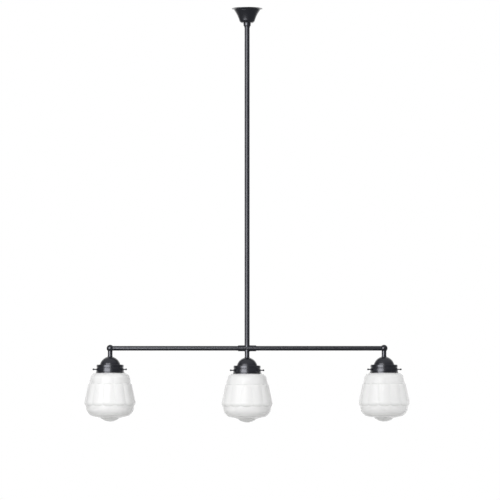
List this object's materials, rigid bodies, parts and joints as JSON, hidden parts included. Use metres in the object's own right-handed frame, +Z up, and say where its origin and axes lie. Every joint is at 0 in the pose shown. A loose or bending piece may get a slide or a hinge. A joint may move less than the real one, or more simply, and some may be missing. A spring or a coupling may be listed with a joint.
{
  "type": "linear pendant light",
  "caption": "Ceiling light with a bell canopy and a long stem over a straight bar; fluted opal glass shades hang below it in thumbscrew galleries.",
  "frame": {"origin": "on the stem's axis in the plane of the ceiling, midway between the two slots of the ceiling strap", "axes": "+Z up out of the ceiling face, +X along the bar to the viewer's right, front faces -Y"},
  "size_m": [0.9966, 0.1563, 1.2731],
  "materials": {
    "black_paint": "satin",
    "zinc_steel": "zinc plated",
    "brass": "bright",
    "white_plastic": "matt",
    "black_plastic": "moulded",
    "lamp_metal": "bright",
    "frosted_glass": "frosted",
    "opal_glass": "gloss opal",
    "lead_sheath": "smooth"
  },
  "bodies": {
    "light_frame": {"arm_left": "black_paint", "arm_nipples": "brass", "arm_right": "black_paint", "ball_left": "black_paint", "ball_right": "black_paint", "block_screw": "zinc_steel", "ceiling_strap": "zinc_steel", "centre_contacts": "brass", "clamp_screws": "zinc_steel", "cross_fitting": "black_paint", "dome_centre": "black_paint", "dome_left": "black_paint", "dome_right": "black_paint", "earth_screw": "brass", "gallery_centre": "black_paint", "gallery_left": "black_paint", "gallery_nuts": "zinc_steel", "gallery_right": "black_paint", "glass_shade_centre": "opal_glass", "glass_shade_left": "opal_glass", "glass_shade_right": "opal_glass", "lamp_lead_centre": "lead_sheath", "lamp_lead_left": "lead_sheath", "lamp_lead_right": "lead_sheath", "lampholder_centre": "black_plastic", "lampholder_left": "black_plastic", "lampholder_right": "black_plastic", "neck_centre": "black_paint", "neck_left": "black_paint", "neck_right": "black_paint", "rod": "black_paint", "rod_bottom_nipple": "brass", "rod_top_nipple": "brass", "shade_nipple_centre": "brass", "shade_nipple_left": "brass", "shade_nipple_right": "brass", "stem_nut": "zinc_steel", "stem_washer": "zinc_steel", "terminal_block": "white_plastic", "threaded_shell_centre": "brass", "threaded_shell_left": "brass", "threaded_shell_right": "brass"},
    "canopy": {"canopy": "black_paint", "canopy_collar": "black_paint"},
    "collar_screw": {"collar_grub_screw": "zinc_steel"},
    "thumbscrew_left_1": {"thumbscrew_left_1": "black_paint"},
    "thumbscrew_left_2": {"thumbscrew_left_2": "black_paint"},
    "thumbscrew_left_3": {"thumbscrew_left_3": "black_paint"},
    "lamp_left": {"lamp_cap_left": "lamp_metal", "lamp_globe_left": "frosted_glass"},
    "thumbscrew_centre_1": {"thumbscrew_centre_1": "black_paint"},
    "thumbscrew_centre_2": {"thumbscrew_centre_2": "black_paint"},
    "thumbscrew_centre_3": {"thumbscrew_centre_3": "black_paint"},
    "lamp_centre": {"lamp_cap_centre": "lamp_metal", "lamp_globe_centre": "frosted_glass"},
    "thumbscrew_right_1": {"thumbscrew_right_1": "black_paint"},
    "thumbscrew_right_2": {"thumbscrew_right_2": "black_paint"},
    "thumbscrew_right_3": {"thumbscrew_right_3": "black_paint"},
    "lamp_right": {"lamp_cap_right": "lamp_metal", "lamp_globe_right": "frosted_glass"}
  },
  "joints": [
    {"name": "canopy_lower", "type": "slide", "parent": "light_frame", "child": "canopy", "axis": [0, 0, -1], "range_m": [0, 0.9768]},
    {"name": "collar_screw_out", "type": "slide", "parent": "canopy", "child": "collar_screw", "axis": [0, 1, 0], "range_m": [0, 0.003]},
    {"name": "thumbscrew_left_1_out", "type": "slide", "parent": "light_frame", "child": "thumbscrew_left_1", "axis": [-0.866, -0.5, 0], "range_m": [0, 0.006]},
    {"name": "thumbscrew_left_2_out", "type": "slide", "parent": "light_frame", "child": "thumbscrew_left_2", "axis": [0.866, -0.5, 0], "range_m": [0, 0.006]},
    {"name": "thumbscrew_left_3_out", "type": "slide", "parent": "light_frame", "child": "thumbscrew_left_3", "axis": [0, 1, 0], "range_m": [0, 0.006]},
    {"name": "lamp_left_out", "type": "slide", "parent": "light_frame", "child": "lamp_left", "axis": [0, 0, -1], "range_m": [0, 0.024]},
    {"name": "thumbscrew_centre_1_out", "type": "slide", "parent": "light_frame", "child": "thumbscrew_centre_1", "axis": [-0.866, -0.5, 0], "range_m": [0, 0.006]},
    {"name": "thumbscrew_centre_2_out", "type": "slide", "parent": "light_frame", "child": "thumbscrew_centre_2", "axis": [0.866, -0.5, 0], "range_m": [0, 0.006]},
    {"name": "thumbscrew_centre_3_out", "type": "slide", "parent": "light_frame", "child": "thumbscrew_centre_3", "axis": [0, 1, 0], "range_m": [0, 0.006]},
    {"name": "lamp_centre_out", "type": "slide", "parent": "light_frame", "child": "lamp_centre", "axis": [0, 0, -1], "range_m": [0, 0.024]},
    {"name": "thumbscrew_right_1_out", "type": "slide", "parent": "light_frame", "child": "thumbscrew_right_1", "axis": [-0.866, -0.5, 0], "range_m": [0, 0.006]},
    {"name": "thumbscrew_right_2_out", "type": "slide", "parent": "light_frame", "child": "thumbscrew_right_2", "axis": [0.866, -0.5, 0], "range_m": [0, 0.006]},
    {"name": "thumbscrew_right_3_out", "type": "slide", "parent": "light_frame", "child": "thumbscrew_right_3", "axis": [0, 1, 0], "range_m": [0, 0.006]},
    {"name": "lamp_right_out", "type": "slide", "parent": "light_frame", "child": "lamp_right", "axis": [0, 0, -1], "range_m": [0, 0.024]}
  ]
}
